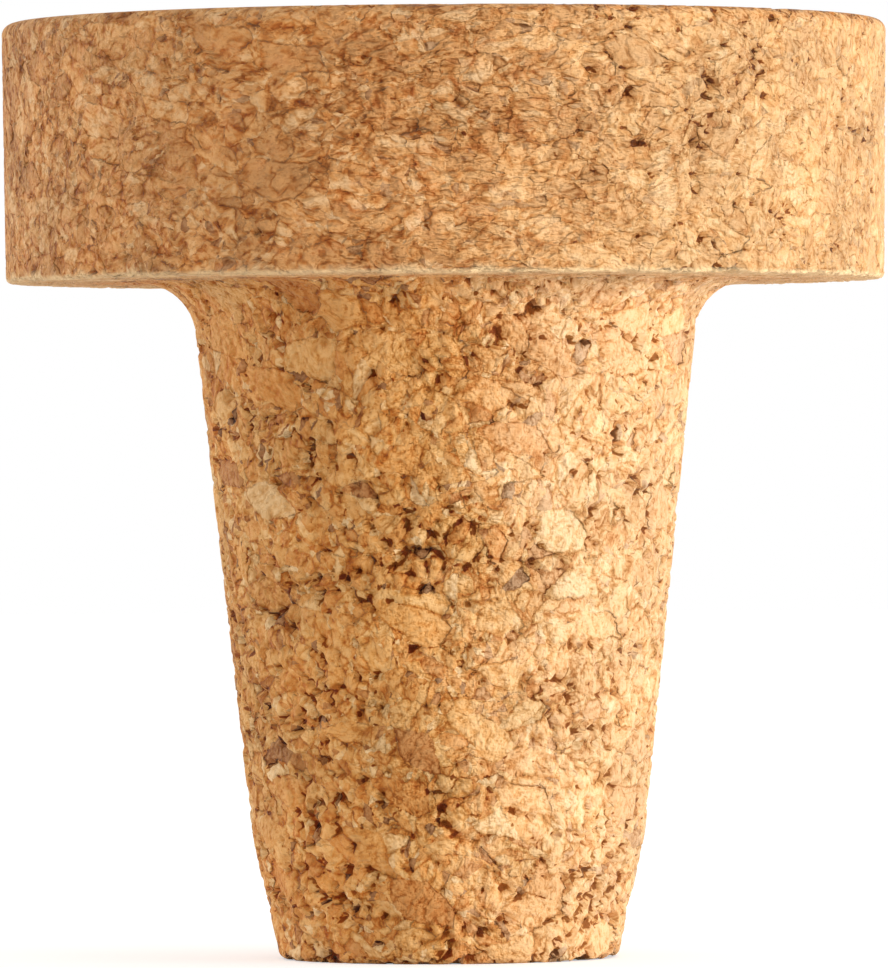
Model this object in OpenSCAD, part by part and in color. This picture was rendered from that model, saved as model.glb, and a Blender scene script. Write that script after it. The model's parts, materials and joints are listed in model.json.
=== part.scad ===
// Cork stopper: a flat round head on a tapered plug, turned in one piece
// from a block of bonded cork granules.
// Millimetres, +Z up. The origin is the centre of the plug's end face, on
// which the stopper stands.

/* [Head] */
// Diameter of the head at its widest, by its top edge
head_d = 45; // [40:0.5:60]
// Height of the head, from its underside to its top face
head_h = 13.2; // [8:0.1:20]
// How much narrower the head is across its lower edge
head_draft = 0.3; // [0:0.05:1]
// Radius of the head's top edge
top_edge_r = 0.6; // [0.3:0.1:2]
// Radius of the head's lower edge
lower_edge_r = 0.3; // [0.1:0.05:0.8]

/* [Plug] */
// Length of the plug, from its end face to the head's underside
plug_l = 34.4; // [25:0.1:45]
// Diameter of the plug where its taper would meet the head
plug_root_d = 26; // [23:0.1:30]
// Diameter of the plug where its lead-in begins
plug_knee_d = 20; // [18.5:0.1:22]
// Diameter of the plug's end face, across the corner of its edge
plug_end_d = 17.2; // [16:0.1:18]
// Radius of the hollow fillet between the plug and the head
root_fillet_r = 2.8; // [0.5:0.1:3]

/* [Lead-in] */
// Length of the steeper lead-in at the plug's end
lead_in_l = 6.2; // [4:0.1:8]
// Radius that blends the plug's taper into its lead-in
knee_r = 8; // [2:1:10]
// Radius of the end face's edge
end_edge_r = 0.5; // [0.2:0.1:1]

/* [Hidden] */
// Widest turn between two points on a rounded corner, in degrees
arc_step = 7.5;
// Colour of the bonded cork
cork_colour = [0.80, 0.60, 0.37];
// Half of the stopper's outline, as corners of [radius, height, rounding],
// from the centre of the end face to the centre of the top face
corners = [
    [0, 0, 0],
    [plug_end_d / 2, 0, end_edge_r],
    [plug_knee_d / 2, lead_in_l, knee_r],
    [plug_root_d / 2, plug_l, root_fillet_r],
    [(head_d - head_draft) / 2, plug_l, lower_edge_r],
    [head_d / 2, plug_l + head_h, top_edge_r],
    [0, plug_l + head_h, 0],
];
$fn = 180;

// Unit vector from point a to point b
function toward(a, b) = (b - a) / norm(b - a);

// Whole number of points on an arc that turns by this many degrees
function arc_points(turn) = max(2, ceil(turn / arc_step));

// Points of the arc of radius r that rounds corner p between its neighbours
// before and after. The arc touches both sides of the corner.
function rounded_corner(before, p, after, r) =
    let (
        u = toward(p, before),
        v = toward(p, after),
        opening = acos(u * v),
        centre = p + (u + v) / norm(u + v) * r / sin(opening / 2),
        first = p + u * r / tan(opening / 2),
        start = first - centre,
        side = sign(cross(-u, v)),
        n = arc_points(180 - opening)
    )
    [for (i = [0:n])
        let (a = side * (180 - opening) * i / n)
        centre + [
            start.x * cos(a) - start.y * sin(a),
            start.x * sin(a) + start.y * cos(a)
        ]
    ];

// Radius and height of corner i, where its two sides would meet
function corner_at(i) = [corners[i].x, corners[i].y];

// The outline's points: its two ends on the axis, and the rest rounded
function outline() = [
    for (i = [0:len(corners) - 1])
        let (r = corners[i].z)
        each r == 0
            ? [corner_at(i)]
            : rounded_corner(corner_at(i - 1), corner_at(i), corner_at(i + 1), r)
];

// The whole stopper: one turned solid
module cork_stopper() {
    color(cork_colour)
        rotate_extrude()
            polygon(outline());
}

cork_stopper();
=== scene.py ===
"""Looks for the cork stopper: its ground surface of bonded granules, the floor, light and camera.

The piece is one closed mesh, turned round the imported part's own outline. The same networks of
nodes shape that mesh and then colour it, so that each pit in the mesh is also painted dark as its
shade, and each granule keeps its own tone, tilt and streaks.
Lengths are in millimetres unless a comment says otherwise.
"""

import json
import math
from types import SimpleNamespace

import bpy
import numpy as np
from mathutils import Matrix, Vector


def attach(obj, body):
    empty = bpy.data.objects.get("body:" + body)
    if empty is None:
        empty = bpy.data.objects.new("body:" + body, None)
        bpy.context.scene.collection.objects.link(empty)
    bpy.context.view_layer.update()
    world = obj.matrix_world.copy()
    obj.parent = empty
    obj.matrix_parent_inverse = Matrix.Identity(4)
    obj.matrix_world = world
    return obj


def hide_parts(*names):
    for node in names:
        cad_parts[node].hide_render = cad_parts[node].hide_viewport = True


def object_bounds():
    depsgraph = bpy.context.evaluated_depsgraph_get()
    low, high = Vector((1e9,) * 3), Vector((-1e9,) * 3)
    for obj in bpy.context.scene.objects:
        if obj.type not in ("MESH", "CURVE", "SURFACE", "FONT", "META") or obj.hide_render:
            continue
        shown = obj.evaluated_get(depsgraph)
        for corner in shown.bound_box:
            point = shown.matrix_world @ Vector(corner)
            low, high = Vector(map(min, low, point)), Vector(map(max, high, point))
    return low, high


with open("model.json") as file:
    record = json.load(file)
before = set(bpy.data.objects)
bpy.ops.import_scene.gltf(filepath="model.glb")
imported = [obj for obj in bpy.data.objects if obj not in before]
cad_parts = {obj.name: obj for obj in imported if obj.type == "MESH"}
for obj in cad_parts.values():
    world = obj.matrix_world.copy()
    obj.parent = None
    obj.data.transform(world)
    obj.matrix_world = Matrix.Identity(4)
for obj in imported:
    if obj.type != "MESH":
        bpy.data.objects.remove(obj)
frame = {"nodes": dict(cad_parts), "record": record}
cad_low, cad_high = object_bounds()

MM = 0.001  # metres

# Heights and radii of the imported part
mounts = {mount["name"]: mount for mount in frame["record"]["mounts"]}
head_z = mounts["head_underside"]["pos_m"][2] / MM
top_z = cad_high.z / MM
rim_inset = 0.3  # how far inside its widest radius the head's flat faces are taken to end
head_rim_r = cad_high.x / MM - rim_inset

# The mesh
mesh_step = 0.3  # between neighbouring points
ring_step = mesh_step * math.sqrt(3) / 2  # between rings, for triangles with even sides
ring_multiple = 6  # each ring has a multiple of this number of points
corner_step = 0.12  # between rings on a small rounded edge
flat_tolerance = 0.01
axis_reach = 1.0  # points nearer to the axis than this aren't on the part's side
head_start = 0.05  # how far above the head's underside the head's material begins
map_gap = 1.0  # between the pieces of the map for baking

# What the mesh keeps at each point for the material to read
block_name = "block_mm"  # its place in the pressed block
looseness_name = "looseness"  # how loosely its granules hold
drift_and_tip_light_name = "drift_and_tip_light"  # its slow change of tone, with painted light that makes the tip paler on its -X side
bounce_light_name = "painted_bounce_light"  # painted bounce light: how pale its underside and lower edge are painted, as lit from the floor
painted_glare_name = "painted_glare"  # painted glare: how much paler it is painted where the light from +X falls strongest

# Sizes of the granules, of the chips they break into, and of the crumbs those break into
granule_size = 2.2
chip_size = 1.15
crumb_size = 0.5
grit_size = 0.36
fibre_size = 0.25
wave_size = 0.95
waves_per_noise = 4.0  # how often a granule folds back and forth
granule_tilt = -0.35  # radians, of the granules' long side from level
head_press = 0.35  # extra block that is pressed into each millimetre of the head's height

# Shares of the granules that stay whole, of the chips that do, and of the crumbs that may be lost
whole_share = 0.18
chip_share = 0.5
lost_share = 0.1

# How open the bond between granules has to be before gaps open in it
plug_opens_at = 0.53
head_opens_at = 0.6
widest_gap = 0.3  # from a granule's edge in to the side of the gap

# How much each signal of the cork adds to its height, in the mesh and in the finer bump
plug_relief = {"dome": -0.5, "grit": 0.36, "lean": 0.3, "offset": -0.18, "pit": -0.42}
plug_bump = {"dome": -0.3, "grit": 0.3, "lean": 0.16, "fibres": 0.06, "ridges": 0.08}
head_relief = {"dome": -0.25, "grit": 0.36, "lean": 0.22, "pit": -0.4}
head_bump = {"dome": -0.12, "grit": 0.36, "lean": 0.24, "fibres": 0.12, "ridges": 0.16}
plug_sink = 0.1  # how much lower the mesh lies than its signals put it
head_sink = 0.18
end_lift = 0.2  # how much less it dips on the end face, which is cut flat
top_lift = 0.12  # and on the top face

# Tones of the granules, from the rarest dark ones to the rarest pale ones
plug_tones = {0.0: (0.36, 0.19, 0.09), 0.04: (0.56, 0.27, 0.10), 0.12: (0.75, 0.36, 0.11),
              0.5: (0.82, 0.45, 0.16), 0.85: (0.87, 0.53, 0.22), 1.0: (0.92, 0.66, 0.37)}
head_tones = {0.0: (0.55, 0.27, 0.10), 0.35: (0.70, 0.35, 0.13), 0.7: (0.79, 0.43, 0.175),
              1.0: (0.87, 0.575, 0.31)}
rosy = (0.70, 0.29, 0.11, 1)
bark = (0.36, 0.19, 0.10, 1)
# Painted bounce light: the cream of the head's underside and lower edge, as lit from the floor.
bounce_light_cream = (0.95, 0.70, 0.39, 1)
# The next two are painted glare: the pale tones of the head and of the plug where the light from +X
# falls strongest.
head_glare_straw = (0.75, 0.53, 0.285, 1)
plug_glare_straw = (0.92, 0.69, 0.45, 1)

# The studio
floor_grey = (0.9, 0.9, 0.9, 1)
floor_glow = (0.86, 0.94, 1.0, 1)
floor_glow_strength = 0.44
fill = (1.0, 0.94, 0.88, 1)
fill_strength = 0.76
white = (1.0, 1.0, 1.0, 1)
floor_reach = 1500
lamp_distance = 400
lamp_height = 80
lamp_middle_z = 45
lamp_aim = Vector((0, 0, 25))
camera_place = Vector((-0.12, -560, 24.1))
camera_roll = 0.35  # degrees
camera_lens = 409


# ---------------------------------------------------------------- signals
class Signal:
    """A node's output. Arithmetic on it adds the matching nodes to the same tree."""

    def __init__(self, socket):
        self.socket = socket
        self.tree = socket.id_data

    def math(self, operation, *others):
        return add(self.tree, "ShaderNodeMath", [self, *others], operation=operation)

    def vector(self, operation, *others):
        return add(self.tree, "ShaderNodeVectorMath", [self, *others], operation=operation)

    def __add__(self, other):
        return self.math("ADD", other)

    def __sub__(self, other):
        return self.math("SUBTRACT", other)

    def __mul__(self, other):
        return self.math("MULTIPLY", other)


def add(tree, kind, inputs, output=0, **settings):
    """Adds a node, sets or links its inputs in order or by name, and gives one output."""
    node = tree.nodes.new(kind)
    for name, value in settings.items():
        setattr(node, name, value)
    keyed = inputs if isinstance(inputs, dict) else dict(enumerate(inputs))
    for key, value in keyed.items():
        if isinstance(value, Signal):
            tree.links.new(value.socket, node.inputs[key])
        else:
            node.inputs[key].default_value = value
    return Signal(node.outputs[output])


def inverse(signal):
    """1 where the signal is 0, and 0 where it is 1."""
    return add(signal.tree, "ShaderNodeMath", [1.0, signal], operation="SUBTRACT")


def ramp(signal, start, end, low=0.0, high=1.0):
    """Goes smoothly from low to high as the signal goes from start to end."""
    inputs = {"Value": signal, "From Min": start, "From Max": end, "To Min": low, "To Max": high}
    return add(signal.tree, "ShaderNodeMapRange", inputs, interpolation_type="SMOOTHSTEP")


def channels(colour):
    """A colour's or vector's three numbers."""
    first = add(colour.tree, "ShaderNodeSeparateXYZ", [colour])
    return [Signal(socket) for socket in first.socket.node.outputs]


def stretched(place, x, y, z):
    """The place with each axis scaled; what is drawn there shrinks by as much."""
    return place.vector("MULTIPLY", (x, y, z))


def scaled(vector, factor):
    """A vector or colour with all its numbers scaled alike."""
    return add(vector.tree, "ShaderNodeVectorMath", {0: vector, "Scale": factor}, operation="SCALE")


def centred(colour, spread):
    """A random colour as a vector from minus half to plus half of spread on each axis."""
    return colour.vector("MULTIPLY_ADD", (spread,) * 3, (-spread / 2,) * 3)


def turned(place, turns):
    """The place turned by three angles, each given as 0 to 1 of a whole turn."""
    angles = turns.vector("MULTIPLY", (math.tau,) * 3)
    inputs = {"Vector": place, "Rotation": angles}
    return add(place.tree, "ShaderNodeVectorRotate", inputs, rotation_type="EULER_XYZ")


def noise(place, size, detail=1.0, output="Fac", roughness=0.5):
    """Noise of about 0.2 to 0.8, with lumps of the given size."""
    inputs = {"Vector": place, "Scale": 1 / size, "Detail": detail, "Roughness": roughness}
    return add(place.tree, "ShaderNodeTexNoise", inputs, output)


def shaken(place, size, spread, roughness=0.5):
    """The place moved by a fine random amount, which makes what is drawn there ragged."""
    return place.vector("ADD", centred(noise(place, size, 2, "Color", roughness), spread))


def cells(place, size):
    """The cell round each place: its random colour, and how it domes and leans."""
    distance = add(place.tree, "ShaderNodeTexVoronoi", {"Vector": place, "Scale": 1 / size})
    outputs = distance.socket.node.outputs
    colour = Signal(outputs["Color"])
    off_middle = place.vector("SUBTRACT", Signal(outputs["Position"]))
    inputs = [off_middle, centred(colour, 1.0)]
    lean = add(place.tree, "ShaderNodeVectorMath", inputs, "Value", operation="DOT_PRODUCT")
    return SimpleNamespace(colour=colour, dome=distance * distance, lean=lean)


def cell_edge(place, size):
    """Distance from each place to the edge of its cell."""
    inputs = {"Vector": place, "Scale": 1 / size}
    edge = add(place.tree, "ShaderNodeTexVoronoi", inputs, feature="DISTANCE_TO_EDGE")
    return edge * size


# The Mix node takes numbers at its inputs 2 and 3, and colours at its inputs 6 and 7.
def choose(factor, a, b):
    """Colour a where the factor is 0, and colour b where it is 1."""
    inputs = {0: factor, 6: a, 7: b}
    return add(factor.tree, "ShaderNodeMix", inputs, output=2, data_type="RGBA")


def between(factor, a, b):
    """Number a where the factor is 0, and number b where it is 1."""
    return add(factor.tree, "ShaderNodeMix", {0: factor, 2: a, 3: b}, data_type="FLOAT")


def show(shader, output_kind):
    """Links a shader to its tree's output."""
    output = shader.tree.nodes.new(output_kind)
    shader.tree.links.new(shader.socket, output.inputs["Surface"])


def empty_material(name):
    """A new material and its tree, with no nodes in it."""
    material = bpy.data.materials.new(name)
    material.use_nodes = True
    material.node_tree.nodes.clear()
    return material, material.node_tree


def in_scene(name, data):
    """A new object of the scene."""
    made = bpy.data.objects.new(name, data)
    bpy.context.scene.collection.objects.link(made)
    return made


def colour_ramp(signal, stops):
    """The tones by position, blended between."""
    first = add(signal.tree, "ShaderNodeValToRGB", [signal])
    elements = first.socket.node.color_ramp.elements
    while len(elements) < len(stops):
        elements.new(1.0)
    for element, (position, colour) in zip(elements, stops.items()):
        element.position = position
        element.color = (*colour, 1)
    return first


# ---------------------------------------------------------------- the pressed block
def block_place(place):
    """Where a place lies in the pressed block: the head's granules are pressed flatter."""
    above = (channels(place)[2] - head_z).math("MAXIMUM", 0.0)
    lift = add(place.tree, "ShaderNodeCombineXYZ", {"Z": above * head_press})
    warp = centred(noise(place, 1.6, 1, "Color"), 0.6)
    return place.vector("ADD", lift).vector("ADD", warp)


def radius_of(place):
    """Distance of a place from the stopper's axis."""
    across = stretched(place, 1.0, 1.0, 0.0)
    return add(place.tree, "ShaderNodeVectorMath", [across], "Value", operation="LENGTH")


def on_head(place):
    """0 on the plug and 1 on the head, with a soft step at the head's underside."""
    return ramp(channels(place)[2], head_z - 0.2, head_z + 0.1)


def by_top(z):
    """0 on the head's side and 1 on its top face, with a soft step at the edge."""
    return ramp(z, top_z - 0.9, top_z - 0.1)


def looseness(place):
    """How loosely the granules hold: more at the tip, along edges, and on one side of the head."""
    x, _, z = channels(place)
    radius = radius_of(place)
    patches = ramp(noise(place, 5.0, 1), 0.3, 0.7, -0.07, 0.07)
    side = ramp(x, -12.0, 16.0, -0.08, 0.03) * on_head(place)
    tip = ramp(z, 0.0, 8.0, 0.02, 0.0) + ramp(z, 0.0, 1.0, 0.12, 0.0) * ramp(radius, 6.5, 8.0)
    edges = ramp(z, head_z, head_z + 0.9, 1.0, 0.0) + by_top(z)
    rim = ramp(radius, head_rim_r - 0.9, head_rim_r - 0.3, 0.0, 0.08)
    return patches + side + tip + edges * rim


def drift_and_tip_light(place):
    """Slow changes of tone, as a factor, and painted light: the tip is painted paler on its -X side, as
    light bounced from the floor.
    """
    x, _, z = channels(place)
    # Painted light: the tip's -X side made paler, as lit by light bounced from the floor.
    tip = ramp(z, 2.0, 12.0, 1.0, 0.0) * ramp(x, -8.0, 5.0, 0.08, 0.0)
    return ramp(noise(place, 4.0, 2), 0.3, 0.7, 0.88, 1.07) + tip


def painted_glare(place):
    """Painted glare: how much paler the cork is painted on the +X side, where the light falls
    strongest; less, but evenly, on top.
    """
    x, _, z = channels(place)
    patches = ramp(noise(place, 4.0, 1), 0.3, 0.7, -0.12, 0.12)
    reach = between(on_head(place), 12.0, 22.4)
    side = ramp(x.math("DIVIDE", reach) + patches, -0.16, 0.62)
    return between(by_top(z), side, patches + 0.4)


def painted_bounce_light(place):
    """Painted bounce light: the head's underside painted pale, and most along its lower edge, as lit
    from the floor.
    """
    ragged = channels(place)[2] + ramp(noise(place, 0.7, 2), 0.3, 0.7, -0.1, 0.1)
    radius = radius_of(place)
    inner = ramp(radius, 14.5, head_rim_r - 2.0, 0.0, 0.4)
    outer = ramp(radius, head_rim_r - 1.5, head_rim_r - 0.3, 0.0, 0.36)
    return (inner + outer) * ramp(ragged, head_z + 0.14, head_z + 0.34, 1.0, 0.0)


# ---------------------------------------------------------------- granules
def nested_granules(block):
    """Granules broken into chips, and chips into crumbs; some of both stay whole."""
    inputs = {"Vector": block, "Angle": granule_tilt}
    tilted = add(block.tree, "ShaderNodeVectorRotate", inputs, rotation_type="Y_AXIS")
    loose = shaken(tilted, 0.26, 0.26)
    pressed = stretched(loose, 0.8, 0.9, 1.5)
    granule = cells(pressed, granule_size)
    in_granule = stretched(turned(loose, granule.colour), 0.55, 1.0, 1.7)
    whole = channels(granule.colour)[0].math("LESS_THAN", whole_share)
    chip = cells(in_granule, chip_size)
    in_chip = stretched(turned(loose, chip.colour), 0.6, 1.0, 1.6)
    chipped = channels(chip.colour)[0].math("LESS_THAN", chip_share).math("MAXIMUM", whole)
    crumb = cells(in_chip, crumb_size)
    chip_edge = cell_edge(in_granule, chip_size) + whole * 9
    return SimpleNamespace(
        body=choose(chipped, crumb.colour, choose(whole, chip.colour, granule.colour)),
        dome=between(chipped, crumb.dome * 0.3, between(whole, chip.dome, granule.dome) * 0.4),
        lean=between(chipped, crumb.lean, between(whole, chip.lean * 0.75, granule.lean * 0.5)),
        edge=cell_edge(pressed, granule_size).math("MINIMUM", chip_edge),
        along=turned(block, choose(whole, chip.colour, granule.colour)),
        hollow=ramp(crumb.dome, 0.03, 0.42, 1.0, 0.25) * inverse(chipped))


def bonded_granules(block, loose, opens_at):
    """Folded granules, with gaps between them and crumbs lost where they hold loosely."""
    parts = nested_granules(block)
    tone, tilt, offset = channels(parts.body)
    openness = noise(block, 0.6, 2) + loose
    gap_width = ramp(openness, opens_at, opens_at + 0.27, 0.0, widest_gap)
    gap = ramp(parts.edge - gap_width, -0.16, 0.05, 1.0, 0.0) * ramp(gap_width, 0.0, 0.1)
    may_lose = ramp(openness, opens_at - 0.07, opens_at + 0.03) * parts.hollow
    lost = offset.math("GREATER_THAN", 1 - lost_share) * may_lose
    waves = noise(stretched(parts.along, 0.5, 1.0, 1.0), wave_size, 2) * waves_per_noise
    folds = waves.math("PINGPONG", 0.5) * 2.0
    crumpled = ramp(openness, opens_at - 0.25, opens_at, 0.1, 1.0)
    return SimpleNamespace(
        dome=parts.dome, lean=parts.lean, edge=parts.edge, tone=tone, tilt=tilt, offset=offset,
        pit=gap.math("MAXIMUM", lost),
        loosened=ramp(openness, opens_at - 0.08, opens_at + 0.08),
        folds=folds, crumpled=crumpled, ridges=folds * crumpled,
        fibres=noise(stretched(parts.along, 0.35, 1.0, 1.0), fibre_size, 1),
        grit=noise(block, grit_size, 3, roughness=0.7))


def blended(grain, amounts):
    """The sum of the grain's signals, each times its amount."""
    first, *others = [getattr(grain, name) * amount for name, amount in amounts.items()]
    return sum(others, first)


def plug_grain(block, loose):
    """The plug's surface: bulging granules and open pits."""
    grain = bonded_granules(block, loose, plug_opens_at)
    grain.relief = blended(grain, plug_relief) - plug_sink
    grain.bump = blended(grain, plug_bump)
    return grain


def head_grain(block, loose):
    """The head's surface: granules pressed thinner from front to back, and ground flat."""
    grain = bonded_granules(stretched(block, 0.68, 1.2, 0.82), loose, head_opens_at)
    grain.relief = blended(grain, head_relief) - head_sink
    grain.bump = blended(grain, head_bump)
    return grain


# ---------------------------------------------------------------- colours
def marked_and_painted_shade(colour, marks_and_shade, pit):
    """A colour made darker and richer in marks and down in a pit; in pits, creases and low spots this
    is painted shade, where light meets the cork more than once.
    """
    depth = marks_and_shade.math("MAXIMUM", ramp(pit, 0.1, 1.0)).math("MINIMUM", 1.0)
    richer = add(colour.tree, "ShaderNodeGamma", {"Color": colour, "Gamma": depth * 1.7 + 1.0})
    return scaled(richer, inverse(depth * 0.62))


def plug_colour(block, grain, drifting_and_tip_light, painted_glare_amount):
    """The plug's colour: warm granules of many tones, dark in their cracks; pits, creases and low spots
    get painted shade.
    """
    base = colour_ramp(grain.tilt, plug_tones)
    # Painted glare: the +X side mixed towards a pale straw where the light falls strongest.
    base = scaled(choose(painted_glare_amount * 0.5, base, plug_glare_straw), drifting_and_tip_light)
    streak = ramp(grain.fibres, 0.2, 0.6, 1.0, 0.0) * ramp(grain.offset, 0.2, 0.9, 0.03, 0.21)
    # Painted shade in the low spots of the grit.
    low = ramp(grain.grit, 0.3, 0.52, 0.3, 0.0)
    crack = ramp(grain.edge, 0.0, 0.16, 0.36, 0.0) * ramp(noise(block, 0.9, 1), 0.42, 0.62)
    # Painted shade along the creases of the folds.
    painted_crease_shade = ramp(grain.folds, 0.0, 0.4, 0.14, 0.0) * grain.crumpled
    marks_and_shade = streak + low + crack + painted_crease_shade + grain.loosened * 0.04
    # Painted shade down in the pits.
    return marked_and_painted_shade(base, marks_and_shade, grain.pit)


def head_colour(block, grain, drifting_and_tip_light, painted_glare_amount):
    """The head's colour: blotched across the granules, with rosy patches and bits of bark."""
    blotch, warmth, _ = channels(noise(stretched(block, 0.7, 0.7, 1.0), 0.9, 3, "Color"))
    base = colour_ramp(ramp(blotch * 0.8 + grain.tilt * 0.5, 0.25, 1.05), head_tones)
    base = choose(ramp(warmth, 0.5, 0.72, 0.0, 0.3), base, rosy)
    base = choose(ramp(grain.tone, 0.9, 0.94, 0.0, 0.6), base, bark)
    # Painted glare: the +X side mixed towards straw where the light falls strongest.
    base = scaled(choose(painted_glare_amount * 0.42, base, head_glare_straw), drifting_and_tip_light)
    streak = ramp(grain.fibres, 0.28, 0.5, 1.0, 0.0) * ramp(grain.offset, 0.2, 0.9, 0.05, 0.32)
    # Painted shade in the low spots of the grit.
    low = ramp(grain.grit, 0.3, 0.48, 0.19, 0.0)
    crack = ramp(grain.edge, 0.0, 0.18, 0.3, 0.0) * ramp(noise(block, 0.9, 1), 0.42, 0.62)
    # Painted shade along the creases of the folds.
    painted_crease_shade = ramp(grain.folds, 0.0, 0.45, 0.28, 0.0) * grain.crumpled
    # Marks and painted shade are fainter where the glare is painted.
    marks_and_shade = (streak + low + crack + painted_crease_shade) * inverse(painted_glare_amount * 0.45)
    # Painted shade down in the pits.
    return marked_and_painted_shade(base, marks_and_shade + grain.loosened * 0.06, grain.pit)


def kept_on_mesh(tree, name, output="Fac"):
    """What the mesh keeps at its points under a name."""
    return add(tree, "ShaderNodeAttribute", [], output, attribute_name=name)


def cork_material(name, grain_of, colour_of):
    """A dull cork with the given grain and colour, which reads what the mesh keeps."""
    material, tree = empty_material(name)
    block = kept_on_mesh(tree, block_name, "Vector")
    painted_glare_amount = kept_on_mesh(tree, painted_glare_name)
    grain = grain_of(block, kept_on_mesh(tree, looseness_name))
    colour = colour_of(block, grain, kept_on_mesh(tree, drift_and_tip_light_name), painted_glare_amount)
    # Painted bounce light: the head's underside and lower edge turned cream.
    colour = choose(kept_on_mesh(tree, bounce_light_name), colour, bounce_light_cream)
    # The bump is weaker where the glare is painted.
    height = grain.bump * inverse(painted_glare_amount * 0.3)
    bump = add(tree, "ShaderNodeBump", {"Height": height, "Distance": MM, "Filter Width": 1.6})
    inputs = {"Base Color": colour, "Normal": bump, "Roughness": 0.7, "Specular IOR Level": 0.15,
              "Sheen Weight": 0.12, "Sheen Tint": (1.0, 0.85, 0.65, 1), "Sheen Roughness": 0.5}
    show(add(tree, "ShaderNodeBsdfPrincipled", inputs), "ShaderNodeOutputMaterial")
    return material


# ---------------------------------------------------------------- the mesh
def part_outline():
    """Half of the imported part's outline, from the end face's edge to the top face's edge."""
    points = np.array([v.co for v in frame["nodes"]["cork_stopper"].data.vertices]) / MM
    radii = np.hypot(points[:, 0], points[:, 1])
    found = sorted({(round(z, 3), round(r, 3)) for z, r in zip(points[:, 2], radii)})
    highest = found[-1][0]
    side = [(r, z) for z, r in found if z < highest and r > axis_reach]
    rim = max(r for z, r in found if z == highest)
    return [*side, (rim, highest)]


def rings():
    """Radius and height of each ring of points, from the end face's centre to the top's."""
    corners = [(0.0, 0.0), *part_outline(), (0.0, top_z)]
    points = [corners[0]]
    for corner in corners[1:]:
        gap = math.dist(points[-1], corner)
        if gap < corner_step and corner != corners[-1]:
            continue
        count = math.ceil(gap / ring_step)
        start = points[-1]
        for i in range(1, count + 1):
            points.append(tuple(np.array(start) + (np.array(corner) - start) * i / count))
    return points


def turned_mesh():
    """The closed mesh of revolution, each ring starting at the back, with its map for baking."""
    profile = rings()
    steps_around = [math.tau * r / mesh_step for r, z in profile]
    counts = [max(1, ring_multiple * round(steps / ring_multiple)) for steps in steps_around]
    firsts = np.cumsum([0, *counts])
    turns = [(np.arange(count) + 0.5 * (i % 2)) / count for i, count in enumerate(counts)]
    places = []
    for (r, z), turn in zip(profile, turns):
        angle = turn * math.tau + math.pi / 2
        places.append(np.stack([r * np.cos(angle), r * np.sin(angle), np.full(len(turn), z)], axis=1))
    faces = []
    for i in range(len(profile) - 1):
        faces += band(turns[i], turns[i + 1], firsts[i], firsts[i + 1])
    place = np.concatenate(places)
    mesh = bpy.data.meshes.new("bonded_cork_surface")
    mesh.from_pydata((place * MM).tolist(), [], faces)
    mesh.shade_smooth()
    ring = np.repeat(np.arange(len(profile)), counts)
    uv = bake_places(np.array(profile), ring, np.concatenate(turns), place, np.array(faces))
    mesh.uv_layers.new(name="OFBake").uv.foreach_set("vector", uv.astype(np.float32).ravel())
    return mesh


def bake_places(profile, ring, turn, place, faces):
    """Where each face's corners lie on a square: three strips of side, and the three flats as discs."""
    r, z = profile.T
    along = np.concatenate([[0.0], np.cumsum(np.hypot(np.diff(r), np.diff(z)))])[ring]
    lowest = z[ring[faces]].min(axis=1)
    highest = z[ring[faces]].max(axis=1)

    def level(height):
        """Which faces lie flat at a height."""
        return (abs(lowest - height) < flat_tolerance) & (abs(highest - height) < flat_tolerance)

    turn = turn[faces]
    turn = np.where((np.ptp(turn, axis=1, keepdims=True) > 0.5) & (turn < 0.5), turn + 1, turn)
    flats = level(0.0), level(head_z), level(top_z)
    head_side = (lowest > head_z - flat_tolerance) & ~flats[1] & ~flats[2]
    left = turn.mean(axis=1) < 0.5
    plug_side = ~head_side & ~flats[0] & ~flats[1] & ~flats[2]
    strips = [(plug_side, 0.0, 1.0), (head_side & left, 0.0, 0.5), (head_side & ~left, 0.5, 1.0)]
    heights = [np.ptp(along[faces[chosen]]) for chosen, *_ in strips]
    side = sum(heights) + 2 * r.max() + 5 * map_gap
    uv = np.zeros((*faces.shape, 2))
    base = map_gap
    for (chosen, start, end), height in zip(strips, heights):
        across = (turn[chosen] - start) / (end - start) * (side - 3 * map_gap) + map_gap
        up = along[faces[chosen]] - along[faces[chosen]].min() + base
        uv[chosen] = np.stack([across, up], axis=2)
        base += height + map_gap
    # The end face's disc fits inside the ring of the head's underside.
    for chosen, centre_x in zip(flats, (1, 1, 3)):
        centre = np.array([centre_x * (r.max() + map_gap), base + r.max()])
        uv[chosen] = place[faces[chosen]][:, :, :2] + centre
    return uv / side


def band(low, high, low_first, high_first):
    """Triangles between two rings, given their points' angles as parts of a turn."""
    faces = []
    i = j = 0
    while i < len(low) * (len(low) > 1) or j < len(high) * (len(high) > 1):
        next_low = low[i + 1] if i + 1 < len(low) else low[0] + 1
        next_high = high[j + 1] if j + 1 < len(high) else high[0] + 1
        a = low_first + i % len(low)
        b = high_first + j % len(high)
        low_done = i >= len(low) or len(low) == 1
        high_done = j >= len(high) or len(high) == 1
        if high_done or (not low_done and next_low <= next_high):
            i += 1
            faces.append((a, low_first + i % len(low), b))
        else:
            j += 1
            faces.append((a, high_first + j % len(high), b))
    return faces


def flat_lift(place):
    """How much less the surface dips on the end face and the top face, which were cut flat."""
    z = channels(place)[2]
    return ramp(z, 0.0, 1.0, end_lift, 0.0) + ramp(z, top_z - 1.0, top_z, 0.0, top_lift)


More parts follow.
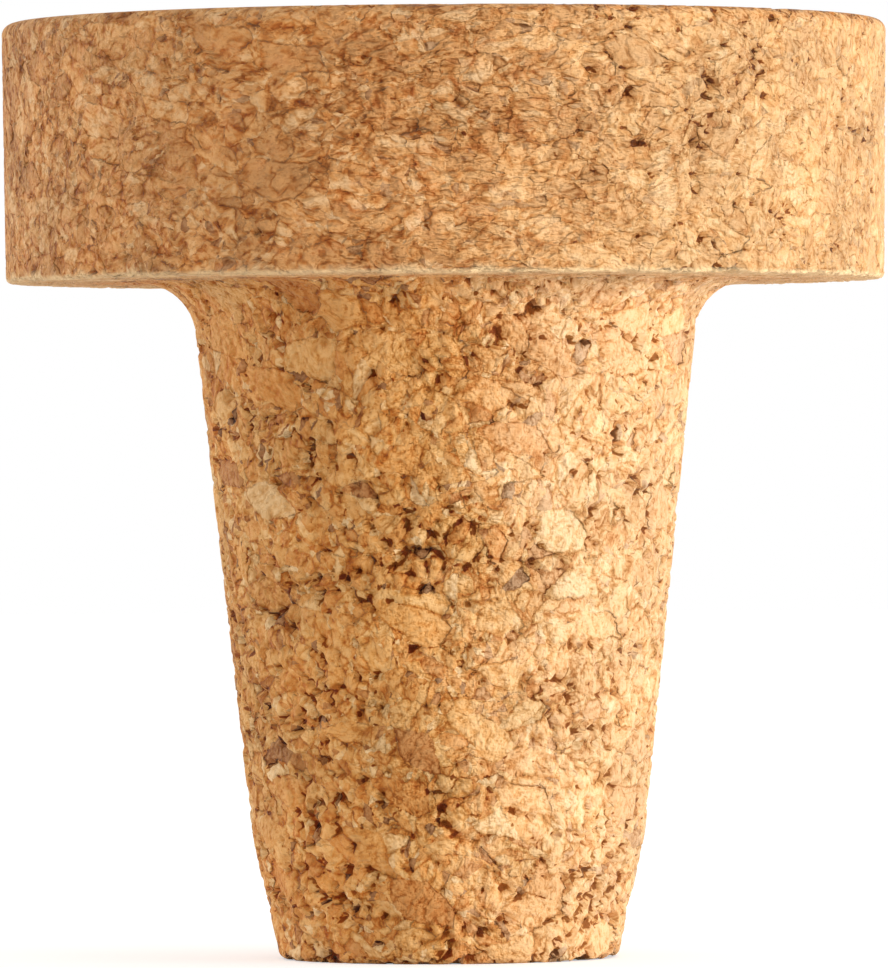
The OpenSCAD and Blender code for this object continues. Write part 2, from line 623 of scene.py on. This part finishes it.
def relief_group():
    """Geometry nodes that store each point's signals, then press the relief into the surface."""
    tree = bpy.data.node_groups.new("cork_relief", "GeometryNodeTree")
    tree.interface.new_socket("Geometry", in_out="INPUT", socket_type="NodeSocketGeometry")
    tree.interface.new_socket("Geometry", in_out="OUTPUT", socket_type="NodeSocketGeometry")
    mesh = Signal(tree.nodes.new("NodeGroupInput").outputs[0])
    place = scaled(add(tree, "GeometryNodeInputPosition", []), 1 / MM)
    block = block_place(place)
    loose = looseness(place)
    mesh = stored(mesh, block_name, block, "FLOAT_VECTOR")
    mesh = stored(mesh, looseness_name, loose, "FLOAT")
    # Some of what is kept is painted light: the tip term of the drift, the pale underside and edge, and
    # the glare on the +X side.
    mesh = stored(mesh, drift_and_tip_light_name, drift_and_tip_light(place), "FLOAT")
    mesh = stored(mesh, bounce_light_name, painted_bounce_light(place), "FLOAT")
    mesh = stored(mesh, painted_glare_name, painted_glare(place), "FLOAT")
    plug_depth = plug_grain(block, loose).relief
    head_depth = head_grain(block, loose).relief
    depth = between(on_head(place), plug_depth, head_depth) + flat_lift(place)
    depth = depth.math("MINIMUM", 0.0)
    offset = scaled(add(tree, "GeometryNodeInputNormal", []), depth * MM)
    moved = add(tree, "GeometryNodeSetPosition", {"Geometry": mesh, "Offset": offset})
    tree.links.new(moved.socket, tree.nodes.new("NodeGroupOutput").inputs[0])
    return tree


def stored(mesh, name, signal, kind):
    """The mesh with the signal kept at its points under a name."""
    inputs = {"Geometry": mesh, "Name": name, "Value": signal}
    return add(mesh.tree, "GeometryNodeStoreNamedAttribute", inputs, data_type=kind)


def pressed_mesh():
    """The turned mesh with its relief pressed in."""
    carrier = in_scene("carrier", turned_mesh())
    carrier.modifiers.new("relief", "NODES").node_group = relief_group()
    evaluated = carrier.evaluated_get(bpy.context.evaluated_depsgraph_get())
    mesh = bpy.data.meshes.new_from_object(evaluated)
    bpy.data.objects.remove(carrier)
    return mesh


def stopper():
    """The visual piece, with one material on the plug and one on the head."""
    mesh = pressed_mesh()
    mesh.materials.append(cork_material("plug_cork", plug_grain, plug_colour))
    mesh.materials.append(cork_material("head_cork", head_grain, head_colour))
    for face in mesh.polygons:
        face.material_index = int(face.center.z / MM > head_z + head_start)
    piece = in_scene("bonded_cork", mesh)
    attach(piece, "root")
    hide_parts("cork_stopper")


# ---------------------------------------------------------------- floor, light and camera
def seen_directly(tree):
    """1 for what the camera sees, also in a mirror or through glass, and 0 for light on the object."""
    outputs = add(tree, "ShaderNodeLightPath", []).socket.node.outputs
    seen = Signal(outputs["Is Camera Ray"]).math("MAXIMUM", Signal(outputs["Is Glossy Ray"]))
    return seen.math("MAXIMUM", Signal(outputs["Is Transmission Ray"]))


def white_backdrop():
    """A world that looks white and lights the stopper with a soft warm fill."""
    world = bpy.data.worlds.new("studio")
    bpy.context.scene.world = world
    world.use_nodes = True
    tree = world.node_tree
    tree.nodes.clear()
    seen = seen_directly(tree)
    inputs = {"Color": choose(seen, fill, white), "Strength": between(seen, fill_strength, 1.0)}
    show(add(tree, "ShaderNodeBackground", inputs), "ShaderNodeOutputWorld")


def floor():
    """A white floor that keeps the stopper's shadow."""
    mesh = bpy.data.meshes.new("floor")
    sides = (-floor_reach * MM, floor_reach * MM)
    mesh.from_pydata([(x, y, 0) for x in sides for y in sides], [], [(0, 2, 3, 1)])
    material, tree = empty_material("white_floor")
    lit = add(tree, "ShaderNodeBsdfDiffuse", {"Color": floor_grey})
    strength = seen_directly(tree) * floor_glow_strength
    glow = add(tree, "ShaderNodeEmission", {"Color": floor_glow, "Strength": strength})
    show(add(tree, "ShaderNodeAddShader", [lit, glow]), "ShaderNodeOutputMaterial")
    mesh.materials.append(material)
    in_scene("floor", mesh)


def lamp(name, azimuth, width, energy):
    """A low, wide lamp that faces the stopper; azimuth 0 is the camera's side, in degrees."""
    data = bpy.data.lights.new(name, "AREA")
    data.shape = "RECTANGLE"
    data.size = width * MM
    data.size_y = lamp_height * MM
    data.energy = energy
    turn = math.radians(azimuth)
    place = Vector((math.sin(turn), -math.cos(turn), 0)) * lamp_distance
    place.z = lamp_middle_z
    made = in_scene(name, data)
    made.location = place * MM
    made.rotation_euler = (lamp_aim - place).to_track_quat("-Z", "Y").to_euler()


def camera():
    """A long lens, level and far off, that sees the stopper from the front."""
    data = bpy.data.cameras.new("camera")
    data.sensor_width = 36
    data.lens = camera_lens
    data.clip_start = 0.01
    data.clip_end = 10
    made = in_scene("camera", data)
    made.location = camera_place * MM
    made.rotation_euler = (math.radians(90), math.radians(camera_roll), 0)
    bpy.context.scene.camera = made


stopper()
white_backdrop()
floor()
lamp("key", azimuth=68, width=360, energy=1.32)
lamp("rim", azimuth=115, width=240, energy=0.3)
lamp("left", azimuth=-110, width=240, energy=0.44)
camera()
bpy.context.scene.view_settings.view_transform = "Standard"
